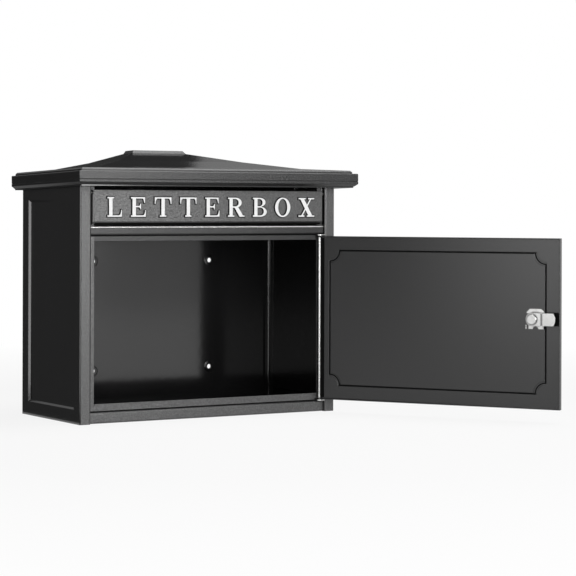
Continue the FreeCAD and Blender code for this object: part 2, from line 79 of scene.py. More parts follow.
camera_data = bpy.data.cameras.new("photo_camera")
camera_data.lens = CAMERA_LENS
camera_data.sensor_width = CAMERA_SENSOR
camera_data.shift_y = CAMERA_SHIFT
camera = bpy.data.objects.new("photo_camera", camera_data)
level = Matrix.Rotation(-CAMERA_TURN, 4, "Z") @ Matrix.Rotation(math.radians(90), 4, "X")
camera.matrix_world = Matrix.Translation(CAMERA_PLACE) @ level @ Matrix.Rotation(CAMERA_ROLL, 4, "Z")
bpy.context.scene.collection.objects.link(camera)
bpy.context.scene.camera = camera
bpy.context.scene.view_settings.view_transform = "Standard"
print("camera", round((CAMERA_PLACE - (cad_low + cad_high) / 2).length, 3), "m from the middle of the box")

# %% [markdown]
# ## Small helpers for shader nodes
# Every finish here is built from nodes, with no pictures. Four helpers keep that short: one adds a
# node with its settings, one starts a node group with named sockets, one places such a group in a
# material, and one starts a material. A group is built once and used in several materials, each
# with its own values.

# %% Node helpers
def place(tree, kind, inputs=None, **settings):
    """Adds one shader node, with its settings and the values of its unlinked inputs."""
    node = tree.nodes.new(kind)
    for name, value in settings.items():
        setattr(node, name, value)
    for name, value in (inputs or {}).items():
        node.inputs[name].default_value = value
    return node


def new_group(name, inputs, output):
    """Starts a shader node group with value inputs and one output."""
    group = bpy.data.node_groups.new(name, "ShaderNodeTree")
    for label, value in inputs.items():
        socket = group.interface.new_socket(label, in_out="INPUT", socket_type="NodeSocketFloat")
        socket.default_value = value
    group.interface.new_socket(output[0], in_out="OUTPUT", socket_type=output[1])
    return group, group.nodes.new("NodeGroupInput"), group.nodes.new("NodeGroupOutput")


def use_group(tree, group, values):
    """Places a group in a material, with that material's own values."""
    return place(tree, "ShaderNodeGroup", values, node_tree=group)


def new_material(name, color, roughness, metallic=0.0):
    """Starts a material whose Principled shader has plain values on its own sockets."""
    material = bpy.data.materials.new(name)
    material.use_nodes = True
    shader = material.node_tree.nodes["Principled BSDF"]
    shader.inputs["Base Color"].default_value = (*color, 1.0)
    shader.inputs["Roughness"].default_value = roughness
    shader.inputs["Metallic"].default_value = metallic
    return material, material.node_tree, shader


print("helpers ready")

# %% [markdown]
# ## Rounded edges
# Folded and pressed metal has no knife edges: bending and paint round them off, and that thin
# rounding is what catches the light. A bevel on the mesh would change the CAD's own shape, so a
# group with a Bevel node bends the normal near each edge instead, by a given radius.

# %% Rounded edges
edge_group, edge_in, edge_out = new_group("rounded_edges", {"Radius": 0.0006}, ("Normal", "NodeSocketVector"))
edge_bevel = place(edge_group, "ShaderNodeBevel", samples=6)
edge_group.links.new(edge_in.outputs["Radius"], edge_bevel.inputs["Radius"])
edge_group.links.new(edge_bevel.outputs["Normal"], edge_out.inputs["Normal"])
print("group", edge_group.name)

# %% [markdown]
# ## The grain of a coat
# Powder flows together when it is baked, and leaves small rolling bumps. The group mixes a coarse
# noise and a fine one into a height, and each finish picks its own scales.

# %% Coat grain
grain_group, grain_in, grain_out = new_group(
    "coat_grain", {"Scale": 380.0, "Fine Scale": 1500.0, "Fine Share": 0.25}, ("Height", "NodeSocketFloat"))
grain_place = place(grain_group, "ShaderNodeTexCoord")
grain_rolls = place(grain_group, "ShaderNodeTexNoise", {"Detail": 1.5, "Roughness": 0.5})
grain_fine = place(grain_group, "ShaderNodeTexNoise", {"Detail": 1.0, "Roughness": 0.5})
grain_mix = place(grain_group, "ShaderNodeMix")
for noise, scale in ((grain_rolls, "Scale"), (grain_fine, "Fine Scale")):
    grain_group.links.new(grain_place.outputs["Object"], noise.inputs["Vector"])
    grain_group.links.new(grain_in.outputs[scale], noise.inputs["Scale"])
grain_group.links.new(grain_in.outputs["Fine Share"], grain_mix.inputs["Factor"])
grain_group.links.new(grain_rolls.outputs["Fac"], grain_mix.inputs["A"])
grain_group.links.new(grain_fine.outputs["Fac"], grain_mix.inputs["B"])
grain_group.links.new(grain_mix.outputs["Result"], grain_out.inputs["Height"])
print("group", grain_group.name)

# %% [markdown]
# ## Slow variation
# No sprayed or handled surface has quite the same gloss all over. This group gives a slow, blotchy
# value between two limits, which the finishes use as their roughness.

# %% Slow variation
blotch_group, blotch_in, blotch_out = new_group(
    "slow_variation", {"Scale": 14.0, "Low": 0.3, "High": 0.4}, ("Value", "NodeSocketFloat"))
blotch_place = place(blotch_group, "ShaderNodeTexCoord")
blotch_noise = place(blotch_group, "ShaderNodeTexNoise", {"Detail": 4.0, "Roughness": 0.6})
blotch_range = place(blotch_group, "ShaderNodeMapRange", {"From Min": 0.3, "From Max": 0.7})
blotch_group.links.new(blotch_place.outputs["Object"], blotch_noise.inputs["Vector"])
blotch_group.links.new(blotch_in.outputs["Scale"], blotch_noise.inputs["Scale"])
blotch_group.links.new(blotch_noise.outputs["Fac"], blotch_range.inputs["Value"])
blotch_group.links.new(blotch_in.outputs["Low"], blotch_range.inputs["To Min"])
blotch_group.links.new(blotch_in.outputs["High"], blotch_range.inputs["To Max"])
blotch_group.links.new(blotch_range.outputs["Result"], blotch_out.inputs["Value"])
print("group", blotch_group.name)

# %% [markdown]
# ## Masks
# A mask says where on a piece something happens, as a value from 0 to 1. Here each mask rises
# between two limits of a place or of a normal. Both are taken in the piece's own space, so a mask
# stays where it is when the door or the flap swings.

# %% Mask helpers
def mask_group(name, start, end):
    """Starts a group whose mask rises from 0 to 1 between two limits of a value."""
    group, group_in, group_out = new_group(name, {"From": start, "To": end}, ("Mask", "NodeSocketFloat"))
    rise = place(group, "ShaderNodeMapRange")
    group.links.new(group_in.outputs["From"], rise.inputs["From Min"])
    group.links.new(group_in.outputs["To"], rise.inputs["From Max"])
    group.links.new(rise.outputs["Result"], group_out.inputs["Mask"])
    return group, rise.inputs["Value"]


def own_space(tree, kind, axis):
    """One axis of the place or the normal in the piece's own space."""
    where = place(tree, "ShaderNodeTexCoord")
    parts = place(tree, "ShaderNodeSeparateXYZ")
    tree.links.new(where.outputs[kind], parts.inputs["Vector"])
    return parts.outputs[axis]


def larger(tree, first, second):
    """The larger of two values."""
    node = place(tree, "ShaderNodeMath", operation="MAXIMUM")
    tree.links.new(first, node.inputs[0])
    tree.links.new(second, node.inputs[1])
    return node.outputs["Value"]


print("mask helpers ready")

# %% [markdown]
# ## Faces that look up
# On level faces the powder flowed out smooth before it set, so the roof is glossier than the
# upright faces. The normal's height tells which faces look up.

# %% Faces that look up
upward_group, upward_value = mask_group("looks_up", 0.75, 0.95)
upward_group.links.new(own_space(upward_group, "Normal", "Z"), upward_value)
print("group", upward_group.name)

# %% [markdown]
# ## Faces that look out or in
# The sides of the box were sprayed flat as well. A side face looks out where its place and its
# normal point to the same side of the middle, and in where they point to opposite sides, so their
# product along x tells the two apart.

# %% Faces that look out or in
LOOKS_OUT = {"From": 0.02, "To": 0.06}
LOOKS_IN = {"From": -0.02, "To": -0.06}

sideways_group, sideways_value = mask_group("looks_sideways", LOOKS_OUT["From"], LOOKS_OUT["To"])
sideways_product = place(sideways_group, "ShaderNodeMath", operation="MULTIPLY")
for number, kind in enumerate(("Object", "Normal")):
    sideways_group.links.new(own_space(sideways_group, kind, "X"), sideways_product.inputs[number])
sideways_group.links.new(sideways_product.outputs["Value"], sideways_value)
print("group", sideways_group.name)

# %% [markdown]
# ## The black powder coat
# The coat is almost black, so what is seen of it is gloss: each face shows a soft picture of what
# stands around the box. All the black pieces share one recipe with other values. The grain lies
# over the rounded edges, and the gloss is slightly uneven. Faces that look up, out or in have a
# gloss of their own, and the grain nearly vanishes there.

# %% Recipe of the black coats
FLAT_SHARE = 0.1


def black_coat(name, level, color, grain, grain_depth, edge, gloss, top_gloss, out_gloss, in_gloss):
    """Powder coat with a grain, and with a gloss of its own on faces that look up, out or in."""
    material, tree, shader = new_material(name, color, gloss[0])
    shader.inputs["Specular IOR Level"].default_value = level
    sheen = use_group(tree, blotch_group, {"Low": gloss[0], "High": gloss[1]}).outputs["Value"]
    masks = []
    zones = (
        (upward_group, {}, top_gloss),
        (sideways_group, LOOKS_OUT, out_gloss),
        (sideways_group, LOOKS_IN, in_gloss),
    )
    for group, limits, zone_gloss in zones:
        masks.append(use_group(tree, group, limits).outputs["Mask"])
        mixed = place(tree, "ShaderNodeMix", {"B": zone_gloss})
        tree.links.new(masks[-1], mixed.inputs["Factor"])
        tree.links.new(sheen, mixed.inputs["A"])
        sheen = mixed.outputs["Result"]
    flat = larger(tree, larger(tree, masks[0], masks[1]), masks[2])
    roughen = place(tree, "ShaderNodeMapRange", {"To Min": 1.0, "To Max": FLAT_SHARE}, name="grain_share")
    skin = use_group(tree, grain_group, grain)
    edges = use_group(tree, edge_group, {"Radius": edge})
    bump = place(tree, "ShaderNodeBump", {"Distance": grain_depth})
    tree.links.new(flat, roughen.inputs["Value"])
    tree.links.new(roughen.outputs["Result"], bump.inputs["Strength"])
    tree.links.new(edges.outputs["Normal"], bump.inputs["Normal"])
    tree.links.new(skin.outputs["Height"], bump.inputs["Height"])
    tree.links.new(bump.outputs["Normal"], shader.inputs["Normal"])
    tree.links.new(sheen, shader.inputs["Roughness"])
    return material


print("recipe ready, with", FLAT_SHARE, "of the grain on flat faces")

# %% [markdown]
# ## The coats of the box
# The outside pieces have a coarse grain. The moulded roof has the same grain, shallower and with
# more gloss on top. The panels inside were sprayed thinner and lie flat, the door a little duller,
# and the floor tray is dull. The inside panels and the door are a little darker black, and the floor
# tray much darker: painted shade.

# %% Black coats
OUTSIDE_COLOR = (0.0080, 0.0080, 0.0082)
# The inside colour is a little darker and the shaded colour much darker: painted shade, for the inside, the
# floor tray and faces that look into the box.
INSIDE_COLOR = (0.0060, 0.0060, 0.0062)
PAINTED_SHADE_COLOR = (0.0025, 0.0025, 0.0026)
COARSE_GRAIN = {"Scale": 480.0, "Fine Scale": 1100.0, "Fine Share": 0.35}
FLAT_GRAIN = {"Scale": 120.0, "Fine Scale": 1400.0, "Fine Share": 0.1}

grained_black = black_coat(
    "grained_black", level=0.8, color=OUTSIDE_COLOR, grain=COARSE_GRAIN, grain_depth=0.0006, edge=0.0006,
    gloss=(0.36, 0.42), top_gloss=0.3, out_gloss=0.2, in_gloss=0.07)
moulded_black = black_coat(
    "moulded_black", level=0.5, color=OUTSIDE_COLOR, grain=COARSE_GRAIN, grain_depth=0.0004, edge=0.0006,
    gloss=(0.28, 0.34), top_gloss=0.09, out_gloss=0.2, in_gloss=0.2)
smooth_black = black_coat(
    "smooth_black", level=0.82, color=INSIDE_COLOR, grain=FLAT_GRAIN, grain_depth=0.00003, edge=0.0005,
    gloss=(0.11, 0.13), top_gloss=0.12, out_gloss=0.12, in_gloss=0.12)
door_black = black_coat(
    "door_black", level=0.58, color=INSIDE_COLOR, grain=FLAT_GRAIN, grain_depth=0.00004, edge=0.0009,
    gloss=(0.22, 0.26), top_gloss=0.24, out_gloss=0.24, in_gloss=0.24)
tray_black = black_coat(
    "tray_black", level=0.05, color=PAINTED_SHADE_COLOR, grain=FLAT_GRAIN, grain_depth=0.00003, edge=0.0005,
    gloss=(0.45, 0.50), top_gloss=0.48, out_gloss=0.48, in_gloss=0.48)
print("coats", grained_black.name, moulded_black.name, smooth_black.name, door_black.name, tray_black.name)

# %% [markdown]
# ## Speckle and painted shade
# Seen close, the grained coat sparkles, because the tips of its grain are glossier than the hollows.
# A fine noise sets the weight of a second, clear gloss, as far as the grain itself is there. The
# faces that look into the box are painted darker: painted shade.

# %% Speckle
SPECKLE_GRAIN = {"Scale": 620.0, "Fine Scale": 1300.0, "Fine Share": 0.3}
SPECKLE_LIMITS = {"From Min": 0.40, "From Max": 0.70}
SPECKLE_ROUGHNESS = 0.34


def mixed_color(tree, mask, first, second):
    """Colour that goes from the first to the second as a mask goes from 0 to 1."""
    node = place(tree, "ShaderNodeMix", data_type="RGBA")
    node.inputs["A"].default_value = (*first, 1.0)
    node.inputs["B"].default_value = (*second, 1.0)
    tree.links.new(mask, node.inputs["Factor"])
    return node.outputs["Result"]


speckle_tree = grained_black.node_tree
speckle_shader = speckle_tree.nodes["Principled BSDF"]
speckle_shader.inputs["Coat Roughness"].default_value = SPECKLE_ROUGHNESS
speckle = use_group(speckle_tree, grain_group, SPECKLE_GRAIN)
speckle_range = place(speckle_tree, "ShaderNodeMapRange", SPECKLE_LIMITS)
speckle_share = place(speckle_tree, "ShaderNodeMath", operation="MULTIPLY")
speckle_tree.links.new(speckle.outputs["Height"], speckle_range.inputs["Value"])
speckle_tree.links.new(speckle_range.outputs["Result"], speckle_share.inputs[0])
speckle_tree.links.new(speckle_tree.nodes["grain_share"].outputs["Result"], speckle_share.inputs[1])
speckle_tree.links.new(speckle_share.outputs["Value"], speckle_shader.inputs["Coat Weight"])
# Faces that look into the box get the darker colour: painted shade.
shade_in_mask = use_group(speckle_tree, sideways_group, LOOKS_IN).outputs["Mask"]
inward_shade_color = mixed_color(speckle_tree, shade_in_mask, OUTSIDE_COLOR, PAINTED_SHADE_COLOR)
speckle_tree.links.new(inward_shade_color, speckle_shader.inputs["Base Color"])
print("speckle on", grained_black.name)

# %% [markdown]
# ## Painted highlight on the lip
# Letters slide in over the lintel, below the flap. The lintel's upper edge shows a bright line, which
# is painted: its coat lets bare metal through in a band along its top, and a mask of height gives it.

# %% Lintel coat
HIGHLIGHT_LIP_COLOR = (0.90, 0.90, 0.89)
HIGHLIGHT_LIP_HEIGHT = 0.0020
HIGHLIGHT_LIP_BLEND = 0.0003

height_group, height_value = mask_group("height_band", 0.0, 0.001)
height_group.links.new(own_space(height_group, "Object", "Z"), height_value)
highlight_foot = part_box("lintel")[1].z - HIGHLIGHT_LIP_HEIGHT
lintel_highlight_black = black_coat(
    "lintel_highlight_black", level=0.5, color=OUTSIDE_COLOR, grain=COARSE_GRAIN, grain_depth=0.0004, edge=0.0006,
    gloss=(0.28, 0.34), top_gloss=0.3, out_gloss=0.2, in_gloss=0.2)
lip_tree = lintel_highlight_black.node_tree
lip_shader = lip_tree.nodes["Principled BSDF"]
# The bare metal band along the lintel's top is a painted highlight.
highlight_mask = use_group(lip_tree, height_group, {"From": highlight_foot, "To": highlight_foot + HIGHLIGHT_LIP_BLEND}).outputs["Mask"]
highlight_color = mixed_color(lip_tree, highlight_mask, OUTSIDE_COLOR, HIGHLIGHT_LIP_COLOR)
lip_tree.links.new(highlight_color, lip_shader.inputs["Base Color"])
lip_tree.links.new(highlight_mask, lip_shader.inputs["Metallic"])
print("coat", lintel_highlight_black.name, "rubbed above z", round(highlight_foot, 4))

# %% [markdown]
# ## Painted shade in crevices
# Shade falls where gaps close in round the lock and the rod, and it is painted into the metal's
# colour. An Ambient Occlusion node measures how closed in a spot is, and the group turns that into a
# mask: 0 in a crevice and 1 in the open.

# %% Painted crevice shade
crevice_shade_group, crevice_shade_in, crevice_shade_out = new_group("crevices", {"Reach": 0.002}, ("Mask", "NodeSocketFloat"))
crevice_look = place(crevice_shade_group, "ShaderNodeAmbientOcclusion", samples=8)
crevice_range = place(crevice_shade_group, "ShaderNodeMapRange", {"From Min": 0.45, "From Max": 0.95})
crevice_shade_group.links.new(crevice_shade_in.outputs["Reach"], crevice_look.inputs["Distance"])
crevice_shade_group.links.new(crevice_look.outputs["AO"], crevice_range.inputs["Value"])
crevice_shade_group.links.new(crevice_range.outputs["Result"], crevice_shade_out.inputs["Mask"])
print("group", crevice_shade_group.name)

# %% [markdown]
# ## Bright metal
# The hinge rod is drawn steel, with fine lines along it, which a stretched noise gives. The lock is
# nickel plated and smoother, so its noise isn't stretched. Both have painted shade in their crevices.

# %% Bright metal
CREVICE_SHADE_COLOR = (0.03, 0.03, 0.03)
CREVICE_SHADE_REACH = 0.0025
METAL_EDGE = 0.0004
POLISH_SCALE = 180.0


def bright_metal(name, color, gloss, line_scale, line_depth):
    """Plated metal with fine draw lines, softened edges and painted shade in its crevices."""
    material, tree, shader = new_material(name, color, gloss[0], 1.0)
    where = place(tree, "ShaderNodeTexCoord")
    stretch = place(tree, "ShaderNodeMapping", {"Scale": line_scale})
    lines = place(tree, "ShaderNodeTexNoise", {"Scale": 1.0, "Detail": 3.0, "Roughness": 0.6})
    bump = place(tree, "ShaderNodeBump", {"Strength": 1.0, "Distance": line_depth})
    edges = use_group(tree, edge_group, {"Radius": METAL_EDGE})
    polish = use_group(tree, blotch_group, {"Scale": POLISH_SCALE, "Low": gloss[0], "High": gloss[1]})
    # The crevice mask darkens the base colour toward a near black: painted shade.
    clear = use_group(tree, crevice_shade_group, {"Reach": CREVICE_SHADE_REACH}).outputs["Mask"]
    tree.links.new(where.outputs["Object"], stretch.inputs["Vector"])
    tree.links.new(stretch.outputs["Vector"], lines.inputs["Vector"])
    tree.links.new(lines.outputs["Fac"], bump.inputs["Height"])
    tree.links.new(edges.outputs["Normal"], bump.inputs["Normal"])
    tree.links.new(bump.outputs["Normal"], shader.inputs["Normal"])
    tree.links.new(polish.outputs["Value"], shader.inputs["Roughness"])
    tree.links.new(mixed_color(tree, clear, CREVICE_SHADE_COLOR, color), shader.inputs["Base Color"])
    return material


bright_steel = bright_metal(
    "bright_steel", color=(0.42, 0.42, 0.415), gloss=(0.20, 0.30),
    line_scale=(2600.0, 2600.0, 60.0), line_depth=0.000006)
lock_chrome = bright_metal(
    "lock_chrome", color=(0.37, 0.37, 0.365), gloss=(0.14, 0.24),
    line_scale=(900.0, 900.0, 900.0), line_depth=0.00002)
print("metals", bright_steel.name, lock_chrome.name)

# %% [markdown]
# ## Rubber and letter paint
# The buffer is dull rubber, and the same dull black serves the pieces of painted shade. The letters
# on the flap are pressed up from the sheet and wiped with silver-white paint. One recipe serves both: a
# grain and an uneven gloss. Rubber mirrors less than paint does, which its specular level says.

# %% Rubber and letter paint
RUBBER_LEVEL = 0.08
SHEEN_SCALE = 60.0


def grained_finish(name, color, grain_depth, gloss):
    """Dull or painted finish with a grain and an uneven gloss."""
    material, tree, shader = new_material(name, color, gloss[0])
    skin = use_group(tree, grain_group, COARSE_GRAIN)
    bump = place(tree, "ShaderNodeBump", {"Strength": 1.0, "Distance": grain_depth})
    sheen = use_group(tree, blotch_group, {"Scale": SHEEN_SCALE, "Low": gloss[0], "High": gloss[1]})
    tree.links.new(skin.outputs["Height"], bump.inputs["Height"])
    tree.links.new(bump.outputs["Normal"], shader.inputs["Normal"])
    tree.links.new(sheen.outputs["Value"], shader.inputs["Roughness"])
    return material


# This dull black also paints the shade lines, the strip under the flap, the bead line and the letter rims.
black_rubber = grained_finish("black_rubber", (0.002, 0.002, 0.002), 0.0001, (0.8, 0.95))
black_rubber.node_tree.nodes["Principled BSDF"].inputs["Specular IOR Level"].default_value = RUBBER_LEVEL
letter_paint = grained_finish("letter_paint", (0.86, 0.86, 0.86), 0.00008, (0.38, 0.50))
print("finishes", black_rubber.name, letter_paint.name)

# %% [markdown]
# ## Giving each piece its finish
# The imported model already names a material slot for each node, so the finish of a piece follows
# from its slot. Some differ: the door, the lintel, the floor tray and the smoother roof have coats
# of their own, and the flap's pins were coated together with the flap. Only the material changes,
# and the mesh stays as the CAD made it.

# %% Dress the nodes
finishes = {
    "grained_black": grained_black,
    "smooth_black": smooth_black,
    "bright_steel": bright_steel,
    "lock_chrome": lock_chrome,
    "black_rubber": black_rubber,
}
own_finish = {
    "door_panel": door_black,
    "floor_tray": tray_black,
    "flap_pivots": grained_black,
    "roof_shell": moulded_black,
    "lintel": lintel_highlight_black,
}
for part in frame["record"]["subparts"]:
    for holder in nodes[part["node"]].material_slots:
        holder.material = own_finish.get(part["node"], finishes[part["material_slot"]])

# %% [markdown]
# ## Strokes of the capitals
# The flap carries a plain word in raised serif capitals. Blender's own font has no serifs, so the
# capitals are drawn here as outlines, in units of their height. This cell holds what they share:
# the widths of stems and thin strokes, part of an ellipse, an upright stem with its feet, and an arm
# that sweeps into its tip.

# %% Strokes
STEM = 0.2
HAIR = 0.075
FOOT = 0.09
TIP = 0.05
ARM_SWEEP = 0.12


def sweep(centre, radii, start, end, steps=14):
    """Points along part of an ellipse, with its ends in degrees."""
    angles = [math.radians(start + (end - start) * i / steps) for i in range(steps + 1)]
    return [(centre[0] + radii[0] * math.cos(a), centre[1] + radii[1] * math.sin(a)) for a in angles]


def flipped(points):
    """The same outline upside down, kept in its turning sense."""
    return [(x, 1 - y) for x, y in reversed(points)]


def left_stem():
    """Left side of a letter with an upright stem, from its top down to its foot."""
    return [(0, 1), (0, 1 - HAIR), (FOOT, 1 - HAIR), (FOOT, HAIR), (0, HAIR)]


def low_arm(width, height):
    """Foot arm of an L or E, from its lower left corner to where it meets the stem."""
    curve = sweep((width - TIP - ARM_SWEEP, height), (ARM_SWEEP, height - HAIR), 0, -90)
    return [(0, 0), (width, 0), (width, height)] + curve + [(FOOT + STEM, HAIR)]


print("strokes ready")

# %% [markdown]
# ## Capitals with arms
# L, E and T are stems with arms. The E's upper arm is the lower one turned upside down, and the T is
# one half and its mirror image. Each function gives the outlines of a capital and its width.

# %% Capitals with arms
def capital_l():
    width = 0.82
    head = [(FOOT + STEM, 1 - HAIR), (2 * FOOT + STEM, 1 - HAIR), (2 * FOOT + STEM, 1)]
    return [low_arm(width, 0.36) + head + left_stem()], width


def capital_e():
    width = 0.86
    reach = 0.58
    spread = 0.15
    middle = 0.52
    tongue_sweep = 0.07
    tongue = sweep((reach - TIP - tongue_sweep, middle - spread), (tongue_sweep, spread - HAIR / 2), 90, 0)
    lower = [(FOOT + STEM, middle - HAIR / 2)] + tongue + [(reach, middle - spread)]
    upper = [(x, 2 * middle - y) for x, y in reversed(lower)]
    head = flipped(low_arm(0.81, 0.30))[:-1]
    return [low_arm(width, 0.33) + lower + upper + head + left_stem()], width


def capital_t():
    width = 0.97
    left = (width - STEM) / 2
    right = left + STEM
    drop = 0.34
    arm = sweep((width - TIP - ARM_SWEEP, 1 - drop), (ARM_SWEEP, drop - HAIR), 90, 0)
    half = [(right + FOOT, 0), (right + FOOT, HAIR), (right, HAIR), (right, 1 - HAIR)] + arm
    half += [(width, 1 - drop), (width, 1)]
    return [half + [(width - x, y) for x, y in reversed(half)]], width


print("widths", capital_l()[1], capital_e()[1], capital_t()[1])

# %% [markdown]
# ## Round capitals
# R, B and O have bowls. Each bowl is part of an ellipse, with a hole of its own as a second outline.
# The hole is narrower, so that the bowl is thick at its side and thin at its top and foot.

# %% Round capitals
BOWL_WALL = STEM * 0.95
ROUND_OVERSHOOT = 0.015


def bowl_hole(centre_x, reach, low, high):
    """Hole of a bowl beside an upright stem, between two heights."""
    inner = sweep((centre_x, (low + high) / 2), (reach, (high - low) / 2), 90, -90)
    return [(FOOT + STEM, high)] + inner + [(FOOT + STEM, low)]


def capital_r():
    width = 1.0
    waist = 0.47
    bowl_x = 0.45
    reach = 0.38
    half_height = (1 - waist) / 2
    foot_x = 2 * FOOT + STEM
    foot = [(0, 0), (foot_x, 0), (foot_x, HAIR), (FOOT + STEM, HAIR), (FOOT + STEM, waist)]
    leg = [(0.40, waist), (0.70, 0), (width, 0), (width, HAIR), (0.91, HAIR), (0.62, waist + 0.035)]
    bowl = sweep((bowl_x, waist + half_height), (reach, half_height), -62, 90)
    hole = bowl_hole(bowl_x, reach - BOWL_WALL, waist + HAIR, 1 - HAIR)
    return [foot + leg + bowl + left_stem(), hole], width


def capital_b():
    waist = 0.52
    lower_x = 0.46
    upper_x = 0.42
    lower_reach = 0.40
    upper_reach = 0.36
    lower = sweep((lower_x, waist / 2), (lower_reach, waist / 2), -90, 78)
    upper = sweep((upper_x, (1 + waist) / 2), (upper_reach, (1 - waist) / 2), -78, 90)
    lower_hole = bowl_hole(lower_x, lower_reach - BOWL_WALL, HAIR, waist - HAIR / 2)
    upper_hole = bowl_hole(upper_x, upper_reach - BOWL_WALL, waist + HAIR / 2, 1 - HAIR)
    return [[(0, 0)] + lower + upper + left_stem(), lower_hole, upper_hole], lower_x + lower_reach


def capital_o():
    width = 0.95
    middle = (width / 2, 0.5)
    half_height = 0.5 + ROUND_OVERSHOOT
    outer = sweep(middle, (width / 2, half_height), 0, 352, 44)
    inner = sweep(middle, (width / 2 - STEM, half_height - HAIR), 0, 352, 44)
    return [outer, inner], width


print("widths", capital_r()[1], capital_b()[1], capital_o()[1])

# %% [markdown]
# ## The X and the word
# The X is a thick stroke that leans one way and a thin one that leans the other. Its outline goes
# once round, and turns where the edges of the two strokes cross. Then the word can be spelt.

# %% The X and the word
def capital_x():
    thick = 0.125
    thin = 0.045
    down_foot = 0.78
    down_lean = 0.58
    up_foot = 0.18
    up_lean = 0.62

    def down(side, y):
        return (down_foot - down_lean * y + side * thick, y)

    def up(side, y):
        return (up_foot + up_lean * y + side * thin, y)

    def crossing(down_side, up_side):
        gap = down_foot - up_foot + down_side * thick - up_side * thin
        return up(up_side, gap / (down_lean + up_lean))

    top = 1 - HAIR
    low = [(0, 0), (0.38, 0), (0.38, HAIR), up(1, HAIR), crossing(-1, 1), down(-1, HAIR), (0.52, HAIR)]
    right = [(0.52, 0), (1, 0), (1, HAIR), down(1, HAIR), crossing(1, 1), up(1, top), (1, top), (1, 1)]
    high = [(0.60, 1), (0.60, top), up(-1, top), crossing(1, -1), down(1, top), (0.46, top)]
    left = [(0.46, 1), (0, 1), (0, top), down(-1, top), crossing(-1, -1), up(-1, HAIR), (0, HAIR)]
    return [low + right + high + left], 1.0


word = [
    capital_l, capital_e, capital_t, capital_t, capital_e, capital_r, capital_b, capital_o, capital_x]
print("capitals ready:", "".join(draw.__name__[-1].upper() for draw in word))

# %% [markdown]
# ## Raising a capital
# Each capital becomes a filled curve, is thickened and bevelled, and is turned into a mesh. It sits
# on the flap's front face and swings with it. Faces that look forward get one paint, and the sides
# stay black.

# %% Raised capital
CAPITAL_HEIGHT = 0.0238
CAPITAL_BEVEL = 0.0003
WORD_FOOT_Z = 0.1280
FORWARD_SHARE = 0.3

flap_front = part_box("letter_flap")[0].y


def capital_mesh(outlines, rise, grow):
    """Mesh of one thickened capital, standing on its own origin."""
    curve = bpy.data.curves.new("capital", "CURVE")
    curve.dimensions = "2D"
    curve.fill_mode = "BOTH"
    curve.extrude = rise / 2
    curve.bevel_depth = CAPITAL_BEVEL
    curve.offset = grow - CAPITAL_BEVEL
    curve.bevel_resolution = 2
    for outline in outlines:
        spline = curve.splines.new("POLY")
        spline.points.add(len(outline) - 1)
        for point, (x, y) in zip(spline.points, outline):
            point.co = (x * CAPITAL_HEIGHT, y * CAPITAL_HEIGHT, 0, 1)
        spline.use_cyclic_u = True
    holder = bpy.data.objects.new("capital", curve)
    mesh = bpy.data.meshes.new_from_object(holder)
    bpy.data.objects.remove(holder)
    bpy.data.curves.remove(curve)
    return mesh


def raised_capital(name, outlines, start, rise, grow, face_paint):
    """One capital, or its rim of painted shade, on the flap's front face."""
    piece = bpy.data.objects.new(name, capital_mesh(outlines, rise, grow))
    bpy.context.scene.collection.objects.link(piece)
    seat = Vector((start, flap_front - rise / 2, WORD_FOOT_Z))
    piece.data.transform(Matrix.Translation(seat) @ Matrix.Rotation(math.radians(90), 4, "X"))
    piece.data.materials.append(face_paint)
    piece.data.materials.append(black_rubber)
    for face in piece.data.polygons:
        face.material_index = 0 if -face.normal.y > FORWARD_SHARE else 1
    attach(piece, "flap")
    return piece


print("flap front at y", round(flap_front, 4))

# %% [markdown]
# ## The word on the flap
# The capitals are set out with equal gaps over the word's length. A slightly larger and lower rim
# of dull black stands round each capital, where the sheet bends up to it: painted shade.

# %% Letters on the flap
CAPITAL_RISE = 0.0014
SHADE_RIM_RISE = 0.0005
SHADE_RIM_GROW = 0.0009
WORD_LENGTH = 0.2935
WORD_MIDDLE_X = 0.0022

drawn = [draw() for draw in word]
letter_gap = (WORD_LENGTH - CAPITAL_HEIGHT * sum(width for outlines, width in drawn)) / (len(word) - 1)
start_x = WORD_MIDDLE_X - WORD_LENGTH / 2
for number, (outlines, width) in enumerate(drawn, 1):
    letter = raised_capital("flap_letter_%d" % number, outlines, start_x, CAPITAL_RISE, 0.0, letter_paint)
    # The rim's dull black is painted shade round the capital.
    rim = raised_capital("flap_letter_rim_%d" % number, outlines, start_x, SHADE_RIM_RISE, SHADE_RIM_GROW, black_rubber)
    start_x += width * CAPITAL_HEIGHT + letter_gap
print("letters", len(word), "with a gap of", round(letter_gap * 1000, 1), "mm")

# %% [markdown]
# ## Pieces of painted shade
# The lines in the corners, the strip under the flap and the line in the door's bead are thin dark
# pieces of the same dull black: painted shade. Each is drawn from its corners and rides on one body.
# A piece of the door is drawn on the shut door and then swung open with it, because the frame rests
# with the door open.

# %% Shade piece helpers
DOOR_OPEN = math.radians(122)

joints = frame["record"]["behaviour"]["joints"]
door_rod = Vector(next(joint["pos_m"] for joint in joints if joint["name"] == "door_swing"))
open_door = Matrix.Translation(door_rod) @ Matrix.Rotation(DOOR_OPEN, 4, "Z") @ Matrix.Translation(-door_rod)


def shade_piece(name, corners, sides, body, turn=Matrix()):
    """Small dull black piece of painted shade that rides on a body."""
    piece = bpy.data.objects.new(name, bpy.data.meshes.new(name))
    piece.data.from_pydata(corners, [], sides)
    piece.data.transform(turn)
    piece.data.materials.append(black_rubber)
    bpy.context.scene.collection.objects.link(piece)
    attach(piece, body)
    return piece


